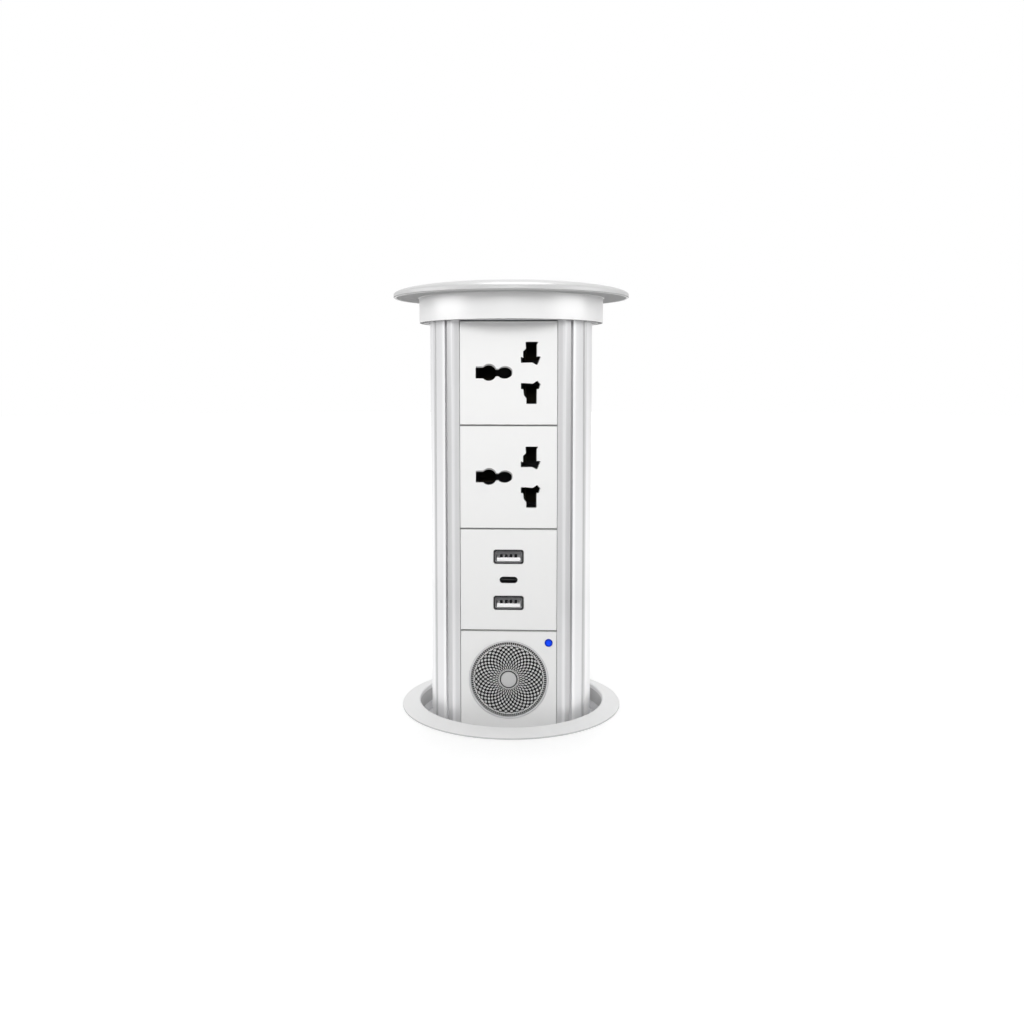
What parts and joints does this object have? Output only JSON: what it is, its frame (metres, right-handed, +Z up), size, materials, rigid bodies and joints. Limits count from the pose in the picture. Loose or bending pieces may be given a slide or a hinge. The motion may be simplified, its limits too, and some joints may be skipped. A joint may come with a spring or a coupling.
{
  "type": "pop up desk socket",
  "caption": "Round pull-up desk tower with universal sockets, charging ports and a speaker, sliding in a threaded sleeve that a nut clamps to the desk.",
  "frame": {"origin": "on the tower's axis, at the desk's top surface, where the sleeve enters the cut-out", "axes": "+Z up along the tower, sockets face -Y, +X to the right seen from the front"},
  "size_m": [0.118, 0.118, 0.292],
  "materials": {
    "lid_silver": "pearl silver lacquer, satin",
    "column_silver": "satin anodised",
    "plate_metal": "plain",
    "panel_white": "satin moulding",
    "housing_black": "moulded",
    "sleeve_grey": "moulded",
    "nylon_dark": "moulded",
    "felt_dark": "felt",
    "rubber_black": "matt",
    "spring_steel": "bright",
    "zinc_steel": "zinc plated",
    "bus_brass": "bright",
    "port_steel": "dark nickel",
    "port_white": "moulded",
    "port_contacts": "dark plated",
    "port_black": "moulded",
    "small_port_steel": "black nickel",
    "circuit_board": "solder mask",
    "coil_tape": "tape",
    "capacitor_sleeve": "shrink sleeve",
    "trim_silver": "polished",
    "grille_silver": "painted",
    "basket_black": "moulded",
    "cone_paper": "coated paper",
    "magnet_ferrite": "ferrite",
    "lens_blue": "lit",
    "led_clear": "clear",
    "terminal_cream": "moulded",
    "wire_brown": "insulation",
    "wire_blue": "insulation",
    "wire_green": "insulation"
  },
  "bodies": {
    "sleeve_unit": {"flange_ring": "lid_silver", "threaded_sleeve": "sleeve_grey", "flange_gasket": "rubber_black", "guide_ring": "nylon_dark", "guide_screws": "zinc_steel", "friction_springs": "spring_steel", "wiper_ring": "felt_dark"},
    "tower": {"cap_disc": "lid_silver", "cap_collar": "lid_silver", "top_plate": "plate_metal", "lid_screws": "zinc_steel", "column_screws": "zinc_steel", "column_extrusion": "column_silver", "socket_plate_upper": "panel_white", "socket_plate_lower": "panel_white", "socket_housing_upper": "housing_black", "socket_housing_lower": "housing_black", "housing_covers": "housing_black", "live_busbar": "bus_brass", "neutral_busbar": "bus_brass", "earth_busbar": "bus_brass", "usb_plate": "panel_white", "usb_a_shell_upper": "port_steel", "usb_a_shell_lower": "port_steel", "usb_a_tongues": "port_white", "usb_a_contacts": "port_contacts", "usb_c_shell": "small_port_steel", "usb_c_tongue": "port_black", "usb_board": "circuit_board", "power_transformer": "coil_tape", "capacitors": "capacitor_sleeve", "speaker_plate": "panel_white", "grille_ring": "trim_silver", "speaker_grille": "grille_silver", "speaker_basket": "basket_black", "speaker_surround": "rubber_black", "speaker_cone": "cone_paper", "speaker_magnet": "magnet_ferrite", "sound_board": "circuit_board", "status_lens": "lens_blue", "status_led": "led_clear", "lower_plate": "panel_white", "bottom_plate": "nylon_dark", "bottom_screws": "zinc_steel", "stop_bumper": "rubber_black", "terminal_block": "terminal_cream", "live_wire": "wire_brown", "neutral_wire": "wire_blue", "earth_wire": "wire_green", "gland_body": "nylon_dark", "gland_locknut": "nylon_dark", "gland_seal": "rubber_black", "gland_nut": "nylon_dark"},
    "washer": {"clamp_washer": "zinc_steel"},
    "nut": {"lock_nut": "nylon_dark"}
  },
  "joints": [
    {"name": "tower_slide", "type": "slide", "parent": "sleeve_unit", "child": "tower", "axis": [0, 0, 1], "range_m": [-0.204, 0]},
    {"name": "washer_slide", "type": "slide", "parent": "sleeve_unit", "child": "washer", "axis": [0, 0, 1], "range_m": [-0.024, 0.012]},
    {"name": "nut_turn", "type": "hinge", "parent": "washer", "child": "nut", "pos_m": [0, 0, -0.034], "axis": [0, 0, 1], "range_deg": [-2160, 1080]}
  ],
  "couplings": [
    {"joint": "washer_slide", "follows": "nut_turn", "m_per_rad": 0.00063662}
  ]
}
